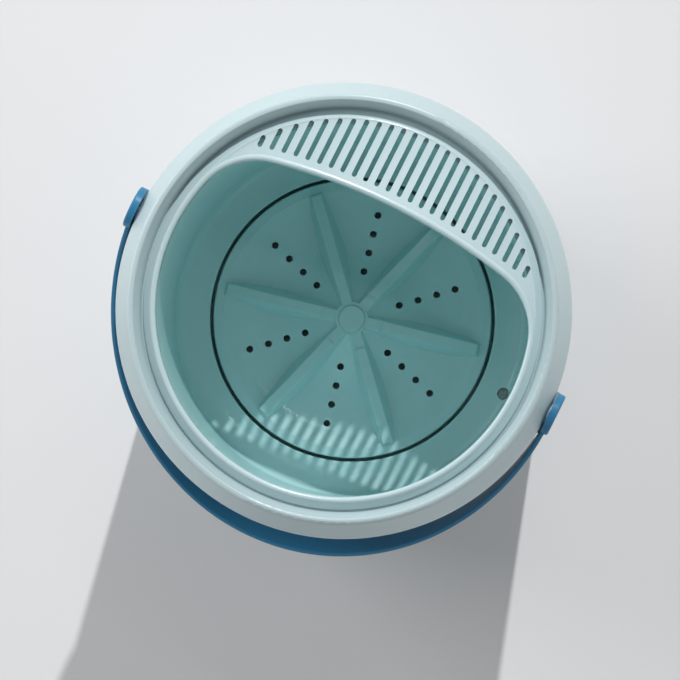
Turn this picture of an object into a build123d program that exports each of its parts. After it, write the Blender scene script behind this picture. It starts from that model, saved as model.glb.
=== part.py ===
from build123d import *
import math
import os

# A small round washing machine with a carrying bail. Millimetres, +Z up, Z = 0 on the standing surface.
# +X runs along the bail's pivots, +Y points to the pour-out strainer at the back, the tub's axis is Z.

# Heights, from the rim's crest down unless they say otherwise
machine_height = 330.0
foot_height = 6.0
shoulder_drop = 22.0
seam_drop = 58.0
groove_depth = 13.0
pivot_drop = 29.0
tub_depth = 175.0

# Outer casing and top rim
base_radius = 125.0
rim_radius = 139.6
casing_wall = 2.8
casing_foot_round = 1.2
shoulder_round = 12.0
shoulder_run = 10.7
crest_width = 3.4
crest_round = 2.5
crest_inner_round = 1.1
groove_run = 6.1
groove_round = 0.8
seat_run = 3.8
spigot_height = 10.0
spigot_step = 1.4
ledge_run = 20.2
ledge_thickness = 2.6
rim_screw_run = 13.6
rim_screw_count = 6
rim_screw_first = 30.0
rim_boss_radius = 4.5
rim_web = 2.4

# Strainer ring: the inner lip, the mouth and the pour-out grille
ring_gap = 1.2
ring_slope_run = 4.4
mouth_run = 3.2
mouth_reach = 69.2
mouth_bend = 378.0
mouth_corner = 42.0
lip_width = 4.0
lip_rise = 0.8
lip_height = 7.5
lip_round = 1.8
ring_wall = 2.4
ring_drop = 7.2
ring_slope_drop = 4.0
ring_round = 0.8
dome_radius = 700.0
dome_inset = 2.0
slot_count = 25
slot_pitch = 7.48
slot_width = 3.0
slot_margin = 7.0
slot_bend = 405.0
slot_edge = 1.0

# Tub and its gasket
tub_wall = 2.6
tub_step = 0.1
tub_draft_run = 1.5
tub_top_drop = 18.0
tub_slope_angle = 18.0
tub_slope_run = 12.9
tub_shelf = 8.7
bowl_round = 28.0
wall_round = 7.0
well_gap = 2.2
well_depth = 15.5
well_edge_round = 0.6
well_floor_round = 2.0
gasket_height = 1.5
flange_thickness = 2.6
tub_hub_radius = 17.0
tub_hub_rise = 3.5
tub_hub_drop = 10.0
seal_radius = 13.0
seal_height = 7.0
seal_shoulder = 5.0
seal_shoulder_bore = 8.0
seal_groove = 3.0
seal_groove_round = 0.8
seal_lip = 1.0

# Lens low in the tub, on the right, and its lamp
lens_radius = 3.4
lens_groove = 0.45
lens_inset = 5.2
lens_dome = 1.1
lens_flange_radius = 6.2
lens_flange = 1.6
lens_boss_radius = 8.5
lens_boss_depth = 7.0
lamp_board_thickness = 1.6
lamp_radius = 2.4
lamp_height = 1.2

# Pulsator
pulsator_wall = 2.4
land_width = 6.1
bank_width = 9.5
bank_drop = 3.0
valley_radius = 46.0
pulsator_dish = 6.0
pulsator_skirt = 11.0
pulsator_edge_round = 1.0
land_round = 2.0
bank_round = 30.0
valley_round = 60.0
hub_rise = 11.0
hub_radius = 9.5
hub_step = 2.0
rib_count = 6
rib_angle = 12.6
rib_width = 6.4
rib_draft = 23.0
rib_inset = 0.5
rib_end_rise = 3.0
rib_bow = 8.0
rib_start = 8.5
rib_round = 0.8
rib_notch_place = 19.0
rib_notch_width = 1.6
rib_notch_depth = 0.6
hole_angle = 42.6
hole_radius = 2.2
hole_first = 31.2
hole_pitch = 12.35
holes_in_row = 4
sleeve_radius = 10.5
sleeve_drop = 9.0
cap_radius = 8.4
cap_height = 1.4
cap_round = 0.9
cap_plug = 3.4
screw_pocket_radius = 5.4
screw_pocket_depth = 3.4
hub_shoulder = 2.2

# Drive
shaft_radius = 5.0
shaft_flat = 0.9
bearing_radius = 13.0
bearing_height = 8.0
bearing_channel = 3.6
bearing_channel_depth = 0.8
housing_radius = 17.0
housing_flange_radius = 33.0
housing_flange = 3.0
housing_screw_circle = 26.0
housing_screw_count = 4
housing_fin_width = 3.0
housing_fin_height = 21.0
housing_fin_reach = 13.0
housing_bore_gap = 3.0
plate_thickness = 2.0
plate_width = 72.0
plate_length = 172.0
plate_edge_x = 6.0
plate_edge_y = 8.0
plate_boss_radius = 5.0
plate_corner = 12.0
plate_window_width = 30.0
plate_window_length = 40.0
plate_window_corner = 6.0
plate_shaft_hole = 9.0
plate_hub_hole = 14.0
motor_offset = 66.0
motor_radius = 30.0
motor_rise = 16.0
motor_end_step = 3.0
motor_top_end = 14.0
motor_low_end = 12.0
motor_nose = 4.0
motor_nose_radius = 15.0
motor_end_round = 3.0
motor_bore_end = 10.0
motor_shaft_radius = 4.0
motor_screw_circle = 19.0
motor_screw_count = 4
belt_width = 7.0
belt_thickness = 2.4
drive_pulley_radius = 43.0
motor_pulley_radius = 11.0
pulley_rim = 1.6
pulley_lip = 2.0
pulley_drop = 18.0
belt_rise = 37.8
pulley_web = 3.0
pulley_hub_radius = 9.5
pulley_hole_count = 6
pulley_hole_radius = 8.0
pulley_hole_circle = 26.0
nut_radius = 8.0
nut_height = 4.0

# Base
cover_thickness = 3.0
cover_rib_height = 6.0
foot_round = 1.0
foot_barb = 0.9
pillar_count = 4
pillar_inset = 13.0
pillar_radius = 5.0
pillar_height = 24.0
pillar_web = 3.0
foot_inset = 27.0
foot_radius = 12.0
foot_count = 4
foot_stem_radius = 3.6
vent_count = 9
vent_pitch = 9.0
vent_width = 3.2
vent_length = 70.0

# Bail handle
bail_length = 189.0
bail_fold = 39.0
strap_thickness = 2.8
strap_width = 18.0
strap_round = 1.0
strap_gap = 0.2
eye_radius = 13.3
eye_thickness = 2.2
pin_radius = 5.0
pin_head_radius = 7.4
pin_head = 1.0
pin_thread_radius = 2.6
pin_thread_length = 12.0
pivot_boss_radius = 7.0
pivot_boss_depth = 15.0
handle_cap_height = 2.6
handle_cap_round = 1.2
stop_reach = 14.0
stop_height = 28.0
stop_depth = 2.4

# Front panel, from the tub's floor down
panel_drop = 59.0
fascia_width = 40.0
fascia_length = 92.0
fascia_proud = 1.6
fascia_plug = 3.0
fascia_depth = 4.0
button_radius = 8.5
button_proud = 1.6
button_travel = 1.2
button_rim = 1.2
button_rim_height = 1.4
button_stem_radius = 3.0
button_round = 0.8
button_dish = 0.5
button_dish_radius = 34.0
button_margin = 5.0
button_between = 4.6
light_radius = 1.6
light_count = 3
light_pitch = 8.0
light_margin = 9.4
light_flange = 0.8
light_flange_height = 1.3
led_height = 1.0
board_thickness = 1.6
board_width = 30.0
board_depth = 16.0
board_post_radius = 3.2
board_post_inset = 11.0
board_post_bore = 1.3
switch_size = 6.0
switch_height = 3.6
relay_width = 14.0
relay_length = 10.0
relay_height = 9.0
relay_y = -10.0
capacitor_radius = 4.0
capacitor_height = 11.0
capacitor_x = -6.0
capacitor_y = 14.0
board_screw_length = 8.0
board_screw_head = 1.6

# Power socket at the back
inlet_height = 40.0
inlet_radius = 4.6
inlet_flange_radius = 7.0
inlet_flange = 1.2
inlet_length = 14.0
inlet_bore = 2.8
inlet_bore_depth = 10.0
inlet_pin = 0.9
inlet_pin_top = -1.0
inlet_nut_radius = 7.5
inlet_nut_height = 3.0

# Screws
screw_radius = 1.9
screw_head_radius = 3.8
screw_head_height = 2.4
screw_length = 14.0
screw_recess_width = 1.0
screw_recess_depth = 1.1
screw_first = 45.0
short_screw = 10.0

# Clearances, how far a cutter runs past a face, and how deep a fused piece starts inside its neighbour
fixed_gap = 0.1
running_gap = 0.06
body_gap = 0.3
past = 1.0
bite = 0.5

# Radii that follow from the sizes above, from the rim inwards
crest_radius = rim_radius - shoulder_run
groove_radius = crest_radius - groove_run
seat_radius = groove_radius - seat_run
ledge_radius = rim_radius - ledge_run
rim_screw_circle = rim_radius - rim_screw_run
ring_radius = groove_radius - ring_gap
ring_slope_radius = ring_radius - ring_slope_run
mouth_radius = ring_slope_radius - mouth_run
slot_reach = ring_slope_radius - slot_edge
tub_top_radius = mouth_radius - tub_step
tub_foot_radius = tub_top_radius - tub_draft_run
tub_slope_radius = tub_foot_radius - tub_slope_run
lens_place = tub_foot_radius - lens_inset
well_radius = tub_slope_radius - tub_shelf
pulsator_radius = well_radius - well_gap
pulsator_land = pulsator_radius - land_width
pulsator_bank = pulsator_land - bank_width
rib_end = pulsator_land - rib_inset
pillar_circle = base_radius - pillar_inset
foot_circle = base_radius - foot_inset

# Heights that follow from the sizes above
shoulder_z = machine_height - shoulder_drop
seam_z = machine_height - seam_drop
groove_z = machine_height - groove_depth
pivot_z = machine_height - pivot_drop
pulsator_z = machine_height - tub_depth
panel_height = pulsator_z - panel_drop
cover_z = foot_height + cover_thickness
ledge_z = seam_z + spigot_height
flange_z = ledge_z + flange_thickness
tub_top_z = machine_height - tub_top_drop
panel_z = machine_height - ring_drop
skirt_z = tub_top_z + gasket_height
well_z = pulsator_z - well_depth
well_under_z = well_z - tub_wall
tub_hub_z = well_under_z - tub_hub_drop
seal_z = tub_hub_z + seal_shoulder
plate_top_z = tub_hub_z - fixed_gap
plate_z = plate_top_z - plate_thickness
belt_z = cover_z + belt_rise
housing_z = belt_z + pulley_drop
motor_z = belt_z + motor_rise
hub_z = pulsator_z + hub_rise
bank_z = pulsator_z - bank_drop
valley_z = pulsator_z - pulsator_dish
rib_fall = math.atan2(hub_rise - rib_end_rise, rib_end - hub_radius)
sleeve_z = valley_z - sleeve_drop + pulsator_wall + body_gap
cap_seat_z = hub_z - cap_plug
screw_seat_z = cap_seat_z - screw_pocket_depth
shaft_top_z = screw_seat_z - hub_shoulder
eye_x = rim_radius + 2 * body_gap
cap_x = eye_x + eye_thickness


def casing_outer(z):
    """Outer radius of the casing's straight cone, which the rim's skirt carries on."""
    rise = (z - foot_height) / (shoulder_z - foot_height)
    return base_radius + (rim_radius - base_radius) * rise


casing_tilt = math.degrees(math.atan2(rim_radius - base_radius, shoulder_z - foot_height))


def section(*corners):
    """Closed face in the radius-height plane. Each corner is radius, height, fillet."""
    points = [(radius, height) for radius, height, _ in corners]
    fillets = [size for _, _, size in corners]
    return Plane.XZ * make_face(FilletPolyline(*points, radius=fillets, close=True).edges())


def moved(points, distance):
    """The same open path moved to its right by a distance, with mitred corners."""
    lines = []
    for (x0, y0), (x1, y1) in zip(points, points[1:]):
        length = math.hypot(x1 - x0, y1 - y0)
        nx = (y1 - y0) / length * distance
        ny = -(x1 - x0) / length * distance
        lines.append(((x0 + nx, y0 + ny), (x1 + nx, y1 + ny)))
    path = [lines[0][0]]
    for ((ax, ay), (bx, by)), ((cx, cy), (dx, dy)) in zip(lines, lines[1:]):
        cross = (bx - ax) * (dy - cy) - (by - ay) * (dx - cx)
        along = ((cx - ax) * (dy - cy) - (cy - ay) * (dx - cx)) / cross
        path.append((ax + along * (bx - ax), ay + along * (by - ay)))
    path.append(lines[-1][1])
    return path


def largest_fillet(before, corner, after):
    """The largest fillet that leaves a little of both straight sides of a corner."""
    to_before = Vector(before[0] - corner[0], before[1] - corner[1])
    to_after = Vector(after[0] - corner[0], after[1] - corner[1])
    half = math.radians(to_before.get_angle(to_after) / 2)
    return 0.48 * min(to_before.length, to_after.length) * math.tan(half)


def wall_section(points, fillets, wall):
    """Section of constant wall to the right of a path, with concentric fillets at its corners."""
    inner = moved(points, wall)
    corners = [(points[0][0], points[0][1], 0)]
    mirrored = [(inner[0][0], inner[0][1], 0)]
    for k, size in enumerate(fillets, start=1):
        (ax, ay), (bx, by), (cx, cy) = points[k - 1], points[k], points[k + 1]
        turns_right = (bx - ax) * (cy - by) - (by - ay) * (cx - bx) < 0
        other = max(size - wall, 0) if turns_right == (wall > 0) else size + abs(wall)
        corners.append((bx, by, size))
        mirrored.append((inner[k][0], inner[k][1], min(other, largest_fillet(*inner[k - 1:k + 2]))))
    corners.append((points[-1][0], points[-1][1], 0))
    mirrored.append((inner[-1][0], inner[-1][1], 0))
    return section(*corners, *reversed(mirrored))


def turned(face):
    """The face revolved about the tub's axis."""
    return revolve(face, Axis.Z)


def rod(radius, low, high, x=0.0, y=0.0):
    """Upright cylinder between two heights."""
    return Pos(x, y, low) * Cylinder(radius, high - low, align=(Align.CENTER, Align.CENTER, Align.MIN))


def tube(radius, bore, low, high, x=0.0, y=0.0):
    """Upright ring between two heights."""
    return rod(radius, low, high, x, y) - rod(bore, low - past, high + past, x, y)


def block(x0, x1, y0, y1, z0, z1):
    """Box between two corners."""
    return Pos(x0, y0, z0) * Box(x1 - x0, y1 - y0, z1 - z0, align=(Align.MIN, Align.MIN, Align.MIN))


def circle_places(count, radius, first=0.0):
    """Points on a circle about the tub's axis."""
    places = []
    for k in range(count):
        angle = math.radians(first + k * 360.0 / count)
        places.append((radius * math.cos(angle), radius * math.sin(angle)))
    return places


def save(name, *solids):
    """Write one node, as one solid or as a group of like ones."""
    shape = solids[0] if len(solids) == 1 else Compound(children=list(solids))
    export_step(shape, f"parts/{name}.step")


# Places that repeat
rim_screw_places = circle_places(rim_screw_count, rim_screw_circle, rim_screw_first)
housing_screw_places = circle_places(housing_screw_count, housing_screw_circle, screw_first)
plate_screw_x = plate_width / 2 - plate_edge_x
plate_screw_y = plate_length / 2 - plate_edge_y
plate_screw_places = [(sx * plate_screw_x, sy * plate_screw_y) for sx in (-1, 1) for sy in (-1, 1)]
motor_screw_places = [
    (x, y + motor_offset) for x, y in circle_places(motor_screw_count, motor_screw_circle, screw_first)
]
pillar_places = circle_places(pillar_count, pillar_circle, screw_first)
foot_places = circle_places(foot_count, foot_circle)

# Places up the front panel, from its middle
board_post_y = fascia_length / 2 - board_post_inset
button_reach = button_radius + button_rim
mode_button_y = -board_post_y + board_post_radius + button_margin + button_reach
power_button_y = mode_button_y + 2 * button_reach + button_between
light_y = power_button_y + button_reach + light_margin
light_places = [(k - (light_count - 1) / 2) * light_pitch for k in range(light_count)]

# Planes that tilt with the casing's cone: the panel faces the front, the socket the back
tilt = math.radians(casing_tilt)
panel_plane = Plane(
    origin=(0, -casing_outer(panel_height), panel_height),
    x_dir=(1, 0, 0),
    z_dir=(0, -math.cos(tilt), -math.sin(tilt)),
)
inlet_plane = Plane(
    origin=(0, casing_outer(inlet_height), inlet_height),
    x_dir=(-1, 0, 0),
    z_dir=(0, math.cos(tilt), -math.sin(tilt)),
)
slope = math.radians(tub_slope_angle)
lens_z = pulsator_z + (lens_place - tub_slope_radius) * math.tan(slope)
lens_plane = Plane(
    origin=(lens_place, 0, lens_z),
    x_dir=(0, 1, 0),
    z_dir=(-math.sin(slope), 0, math.cos(slope)),
)


def on_plane(plane, radius, low, high, x=0.0, y=0.0):
    """Cylinder square to a plane, between two heights above it."""
    return plane * rod(radius, low, high, x, y)


# Top rim, casing and base


def cone(grow=0.0):
    """The casing's cone as a solid, grown outwards."""
    corners = (
        (0, 0, 0),
        (casing_outer(0) + grow, 0, 0),
        (casing_outer(machine_height) + grow, machine_height, 0),
        (0, machine_height, 0),
    )
    return turned(section(*corners))


def stadium(inset=0.0):
    """Outline of the front panel, set in from its edge."""
    return SlotOverall(fascia_length - 2 * inset, fascia_width - 2 * inset, rotation=90)


def pivot_stop(side):
    """Wedge under a pivot. The bail's arm rests on one flank folded forward, on the other folded back."""
    fold = math.radians(bail_fold)
    apex = -(strap_width / 2 + body_gap) / math.cos(fold)
    flank = apex - stop_reach * math.tan(fold)
    outline = Polyline(
        (0, apex),
        (stop_reach, flank),
        (stop_reach, -stop_height + stop_depth),
        (0, -stop_height),
        (-stop_reach, -stop_height + stop_depth),
        (-stop_reach, flank),
        close=True,
    )
    inner_x = casing_outer(pivot_z - stop_height) - casing_wall
    outer_x = eye_x + stop_depth
    face = Plane.YZ * make_face(outline.edges())
    wedge = Pos(inner_x, 0, pivot_z) * extrude(face, outer_x - inner_x)
    eye_path = Pos(inner_x - past, 0, pivot_z) * Rot(0, 90, 0) * rod(eye_radius + body_gap, 0, outer_x)
    wedge = wedge - eye_path
    return wedge if side > 0 else mirror(wedge, Plane.YZ)


def pivot_boss(side):
    """Round boss through the rim's skirt, with the pin's pilot hole."""
    outer_x = eye_x - body_gap
    inner_x = outer_x - pivot_boss_depth
    boss = Pos(inner_x, 0, pivot_z) * Rot(0, 90, 0) * rod(pivot_boss_radius, 0, pivot_boss_depth)
    return boss if side > 0 else mirror(boss, Plane.YZ)


def top_rim():
    """Skirt, sloped shoulder, crest, lid groove and the seat of the strainer ring."""
    path = [
        (casing_outer(seam_z), seam_z),
        (rim_radius, shoulder_z),
        (crest_radius + crest_width / 2, machine_height),
        (crest_radius - crest_width / 2, machine_height),
        (groove_radius, groove_z),
        (seat_radius, groove_z),
    ]
    rounds = [groove_round, crest_inner_round, crest_round, shoulder_round]
    outside = wall_section(list(reversed(path)), rounds, casing_wall)
    rim = turned(outside)
    for x, y in rim_screw_places:
        angle = math.degrees(math.atan2(y, x))
        rim += rod(rim_boss_radius, flange_z, groove_z - casing_wall / 2, x, y)
        reach = casing_outer(flange_z) - casing_wall / 2 - rim_screw_circle
        web = block(0, reach, -rim_web / 2, rim_web / 2, flange_z, shoulder_z)
        rim += Pos(x, y, 0) * Rot(0, 0, angle) * web
    for side in (-1, 1):
        rim += pivot_boss(side)
        rim += pivot_stop(side)
    for x, y in rim_screw_places:
        pilot_top = ledge_z - ledge_thickness + screw_length + 2 * past
        rim -= rod(screw_radius + running_gap, flange_z - past, pilot_top, x, y)
    spigot = casing_outer(seam_z) - spigot_step + fixed_gap
    rim -= rod(spigot, seam_z - past, ledge_z + fixed_gap)
    thread = rod(pin_thread_radius + running_gap, 0, 2 * rim_radius)
    depth = eye_x - body_gap - pin_thread_length - past
    for side in (-1, 1):
        rim -= Pos(side * depth, 0, pivot_z) * Rot(0, side * 90, 0) * thread
    return rim


def outer_casing():
    """Tapering bucket wall with a spigot and ledge at its top and screw pillars at its foot."""
    top = casing_outer(seam_z)
    foot = casing_outer(foot_height)
    spigot_outer = top - spigot_step
    spigot_inner = top - casing_wall
    casing = turned(
        section(
            (foot, foot_height, casing_foot_round),
            (top, seam_z, 0),
            (spigot_outer, seam_z, 0),
            (spigot_outer, ledge_z, 0),
            (ledge_radius, ledge_z, 0),
            (ledge_radius, ledge_z - ledge_thickness, 0),
            (spigot_inner, ledge_z - ledge_thickness, 0),
            (spigot_inner, seam_z - spigot_step, 0),
            (foot - casing_wall, foot_height, 0),
        )
    )
    for x, y in rim_screw_places:
        casing -= rod(screw_radius + body_gap, ledge_z - ledge_thickness - past, ledge_z + past, x, y)
    for x, y in pillar_places:
        angle = math.degrees(math.atan2(y, x))
        casing += rod(pillar_radius, cover_z, cover_z + pillar_height, x, y)
        reach = casing_outer(cover_z) - casing_wall / 2 - pillar_circle
        web = block(0, reach, -pillar_web / 2, pillar_web / 2, cover_z, cover_z + pillar_height)
        casing += Pos(x, y, 0) * Rot(0, 0, angle) * web
    for x, y in pillar_places:
        casing -= rod(screw_radius + running_gap, cover_z - past, cover_z + screw_length, x, y)
    casing -= extrude(panel_plane * stadium(fascia_plug - fixed_gap), 4 * casing_wall, both=True)
    casing -= on_plane(inlet_plane, inlet_radius + fixed_gap, -4 * casing_wall, casing_wall)
    return casing


def base_cover():
    """Flat cover with a stiffening rib, vents under the motor, foot holes and screw holes."""
    outer = casing_outer(foot_height) - casing_wall - body_gap
    cover = rod(outer, foot_height, cover_z)
    rib_outer = foot_circle - foot_radius
    cover += tube(rib_outer, rib_outer - cover_thickness, cover_z - bite, cover_z + cover_rib_height)
    for k in range(vent_count):
        x = (k - (vent_count - 1) / 2) * vent_pitch
        vent = Pos(x, 0, foot_height - past) * SlotOverall(vent_length, vent_width, rotation=90)
        cover -= extrude(vent, cover_thickness + 2 * past)
    for x, y in foot_places:
        cover -= rod(foot_stem_radius + running_gap, foot_height - past, cover_z + past, x, y)
    for x, y in pillar_places:
        cover -= rod(screw_radius + body_gap, foot_height - past, cover_z + past, x, y)
    return cover


def rubber_foot(x, y):
    """Tapered foot with a barbed stem that pushes through the cover."""
    profile = section(
        (0, 0, 0),
        (foot_radius - foot_round, 0, foot_round),
        (foot_radius, foot_height, 0),
        (foot_stem_radius, foot_height, 0),
        (foot_stem_radius, cover_z, 0),
        (foot_stem_radius + foot_barb, cover_z, 0),
        (foot_stem_radius - foot_barb, cover_z + foot_stem_radius, 0),
        (0, cover_z + foot_stem_radius, 0),
    )
    return Pos(x, y, 0) * turned(profile)


def pan_screw(x, y, seat, up=1, length=screw_length):
    """Screw with a domed head. Its shank runs up or down from the seat."""
    shank = rod(screw_radius, 0, length)
    head = rod(screw_head_radius, -screw_head_height, 0)
    head = fillet(head.edges().filter_by(GeomType.CIRCLE).group_by(Axis.Z)[0], screw_head_height / 3)
    half_recess = screw_recess_width / 2
    half_length = screw_head_radius / 2
    recess_top = screw_recess_depth - screw_head_height
    recess_low = -screw_head_height - past
    recess = block(-half_recess, half_recess, -half_length, half_length, recess_low, recess_top)
    screw = shank + head - recess - Rot(0, 0, 90) * recess
    turn = Rot(0, 0, 0) if up > 0 else Rot(180, 0, 0)
    return Pos(x, y, seat) * turn * screw


# Strainer ring and gasket


def mouth(grow=0.0):
    """Outline of the D-shaped mouth: round at the front, gently bowed along the strainer."""
    bow_y = mouth_reach - mouth_bend
    to_round = mouth_radius - mouth_corner
    to_bow = mouth_bend - mouth_corner
    corner_y = (to_round**2 - to_bow**2 + bow_y**2) / (2 * bow_y)
    corner_x = math.sqrt(to_round**2 - corner_y**2)
    round_way = Vector(corner_x, corner_y).normalized()
    bow_way = Vector(corner_x, corner_y - bow_y).normalized()
    corner = Vector(corner_x, corner_y)
    round_end = corner + round_way * (mouth_corner + grow)
    bow_end = corner + bow_way * (mouth_corner + grow)
    middle = corner + (round_way + bow_way).normalized() * (mouth_corner + grow)

    def other(point):
        return Vector(-point.X, point.Y)

    outline = Curve() + [
        ThreePointArc(other(bow_end), (0, mouth_reach + grow), bow_end),
        ThreePointArc(bow_end, middle, round_end),
        ThreePointArc(round_end, (0, -mouth_radius - grow), other(round_end)),
        ThreePointArc(other(round_end), other(middle), other(bow_end)),
    ]
    return make_face(outline.edges())


def strainer_slots():
    """One sketch with every slot, its ends on the bowed line and on the outer circle."""
    slots = Sketch()
    for k in range(slot_count):
        x = (k - (slot_count - 1) / 2) * slot_pitch
        near = mouth_reach + slot_margin - slot_bend + math.sqrt(slot_bend**2 - x**2)
        far = math.sqrt(slot_reach**2 - x**2)
        slots += Pos(x, (near + far) / 2) * SlotOverall(far - near, slot_width, rotation=90)
    return slots


def dome(rise=0.0):
    """Shallow dome that the strainer's panel and the mouth's lip follow, raised by some distance."""
    foot = ring_slope_radius - dome_inset
    centre = panel_z - math.sqrt(dome_radius**2 - foot**2)
    return Pos(0, 0, centre) * Sphere(dome_radius + rise)


def strainer_panel():
    """The grille's plate, highest along the mouth's edge and falling to the rim."""
    crescent = Circle(ring_slope_radius - bite) - mouth(lip_width / 2)
    region = extrude(Pos(0, 0, panel_z - ring_wall) * crescent, ring_wall + ring_drop)
    return region & dome() - dome(-ring_wall)


def strainer_ring():
    """Outer leg and slope, inner skirt, rounded lip round the mouth, and the slotted panel."""
    path = [
        (ring_radius, groove_z),
        (ring_radius, panel_z - ring_slope_drop),
        (ring_slope_radius, panel_z),
        (mouth_radius + lip_width / 2, panel_z),
    ]
    leg = turned(wall_section(list(reversed(path)), [ring_round, ring_round], ring_wall))
    skirt = tube(mouth_radius + ring_wall, mouth_radius, skirt_z, panel_z - ring_wall / 2)
    band = mouth(lip_width) - mouth()
    lip = extrude(Pos(0, 0, panel_z - lip_height) * band, lip_height + 2 * ring_drop) & dome(lip_rise)
    top = lip.faces().filter_by(GeomType.SPHERE)
    lip = fillet(top.edges(), lip_round)
    ring = leg + skirt + strainer_panel() + lip
    cut_low = panel_z - 2 * ring_wall
    ring -= extrude(Pos(0, 0, cut_low) * strainer_slots(), machine_height - cut_low)
    return ring


def tub_gasket():
    """Soft ring between the tub's top edge and the strainer ring's skirt."""
    return tube(mouth_radius + ring_wall, mouth_radius, tub_top_z, skirt_z)


# Tub, lens and lamp


def wash_tub():
    """Tub with a bowl-shaped bottom, the pulsator's well, a hub for the seal and an outer flange."""
    slope_top = pulsator_z + (tub_foot_radius - tub_slope_radius) * math.tan(slope)
    path = [
        (tub_top_radius, tub_top_z),
        (tub_foot_radius, slope_top),
        (tub_slope_radius, pulsator_z),
        (well_radius, pulsator_z),
        (well_radius, well_z),
        (seal_radius + fixed_gap, well_z),
    ]
    rounds = [well_floor_round, well_edge_round, bowl_round, wall_round]
    tub = turned(wall_section(list(reversed(path)), rounds, tub_wall))
    flange_radius = casing_outer(seam_z) - casing_wall - fixed_gap
    tub += tube(flange_radius, tub_top_radius + tub_wall / 2, ledge_z, flange_z)
    tub += rod(tub_hub_radius, tub_hub_z, well_z + tub_hub_rise)
    tub += on_plane(lens_plane, lens_boss_radius, -lens_boss_depth, -tub_wall / 2)
    for x, y in plate_screw_places:
        tub += rod(plate_boss_radius, tub_hub_z, well_under_z + tub_wall / 2, x, y)
    for x, y in housing_screw_places:
        tub += rod(plate_boss_radius, tub_hub_z, well_under_z + tub_wall / 2, x, y)
    tub -= rod(seal_radius + fixed_gap, seal_z, well_z + tub_hub_rise + past)
    tub -= rod(seal_shoulder_bore, tub_hub_z - past, seal_z + past)
    pilot_top = well_under_z - bite
    for x, y in plate_screw_places + housing_screw_places:
        tub -= rod(screw_radius + running_gap, tub_hub_z - past, pilot_top, x, y)
    for x, y in rim_screw_places:
        tub -= rod(screw_radius + body_gap, ledge_z - past, flange_z + past, x, y)
    tub -= on_plane(lens_plane, lens_radius + lens_groove, -lens_boss_depth - past, lens_radius)
    counterbore = lens_flange_radius + fixed_gap
    tub -= on_plane(lens_plane, counterbore, -lens_boss_depth - past, lens_flange - lens_boss_depth)
    return tub


def tub_lens():
    """Clear domed lens, pushed in from behind until its flange seats."""
    under = -lens_boss_depth
    profile = section(
        (lamp_radius + body_gap, under, 0),
        (lens_flange_radius, under, 0),
        (lens_flange_radius, under + lens_flange, 0),
        (lens_radius, under + lens_flange, 0),
        (lens_radius, 0, 0),
        (0, 0, 0),
        (0, under + lamp_height + body_gap, 0),
        (lamp_radius + body_gap, under + lamp_height + body_gap, 0),
    )
    crown_radius = (lens_radius**2 + lens_dome**2) / (2 * lens_dome)
    dome = Pos(0, 0, lens_dome - crown_radius) * Sphere(crown_radius)
    dome = dome & rod(lens_radius, 0, lens_dome + past)
    return lens_plane * (turned(profile) + dome)


def lamp_board():
    """Small round board behind the lens, with its lamp in the lens's pocket."""
    top = -lens_boss_depth
    board = rod(lens_boss_radius, top - lamp_board_thickness, top)
    lamp = rod(lamp_radius, top - lamp_board_thickness / 2, top + lamp_height)
    return lens_plane * (board + lamp)


# Pulsator


def rib_outline():
    """A rib's crown from above: straight sides that bow in to a point at its outer end."""
    half = rib_width / 2
    length = (rib_end - rib_start) / math.cos(rib_fall)
    straight = length - rib_bow
    bow_radius = (rib_bow**2 + half**2) / (2 * half)
    middle = math.asin(rib_bow / bow_radius) / 2
    bow_x = straight + bow_radius * math.sin(middle)
    bow_y = half - bow_radius * (1 - math.cos(middle))
    outline = Curve() + [
        Line((0, -half), (straight, -half)),
        ThreePointArc((straight, -half), (bow_x, -bow_y), (length, 0)),
        ThreePointArc((length, 0), (bow_x, bow_y), (straight, half)),
        Line((straight, half), (0, half)),
        Line((0, half), (0, -half)),
    ]
    return make_face(outline.edges())


def pulsator_ribs():
    """Straight ribs with sloped sides, which run down from the hub and end in a point on the land."""
    fall = math.degrees(rib_fall)
    deep = 2 * (hub_rise + pulsator_dish)
    prism = extrude(rib_outline(), -deep, taper=-rib_draft)
    crown = prism.faces().sort_by(Axis.Z)[-1]
    prism = fillet(crown.edges(), rib_round)
    prism -= block(-2 * deep, 0, -2 * deep, 2 * deep, -2 * deep, past)
    start_z = hub_z + (hub_radius - rib_start) * math.tan(rib_fall)
    rib = Pos(rib_start, 0, start_z) * Rot(0, fall, 0) * prism
    notch_z = hub_z - (rib_notch_place - hub_radius) * math.tan(rib_fall)
    notch = Pos(rib_notch_place, 0, notch_z) * Rot(0, fall, 0)
    rib -= notch * Box(rib_notch_width, 4 * rib_width, 2 * rib_notch_depth)
    return [Rot(0, 0, rib_angle + k * 360.0 / rib_count) * rib for k in range(rib_count)]


def pulsator_top():
    """Path over the pulsator's upper face, from its skirt to the hub."""
    return [
        (pulsator_radius, pulsator_z - pulsator_skirt),
        (pulsator_radius, pulsator_z),
        (pulsator_land, pulsator_z),
        (pulsator_bank, bank_z),
        (valley_radius, valley_z),
        (hub_radius, hub_z - hub_step),
    ]


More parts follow.
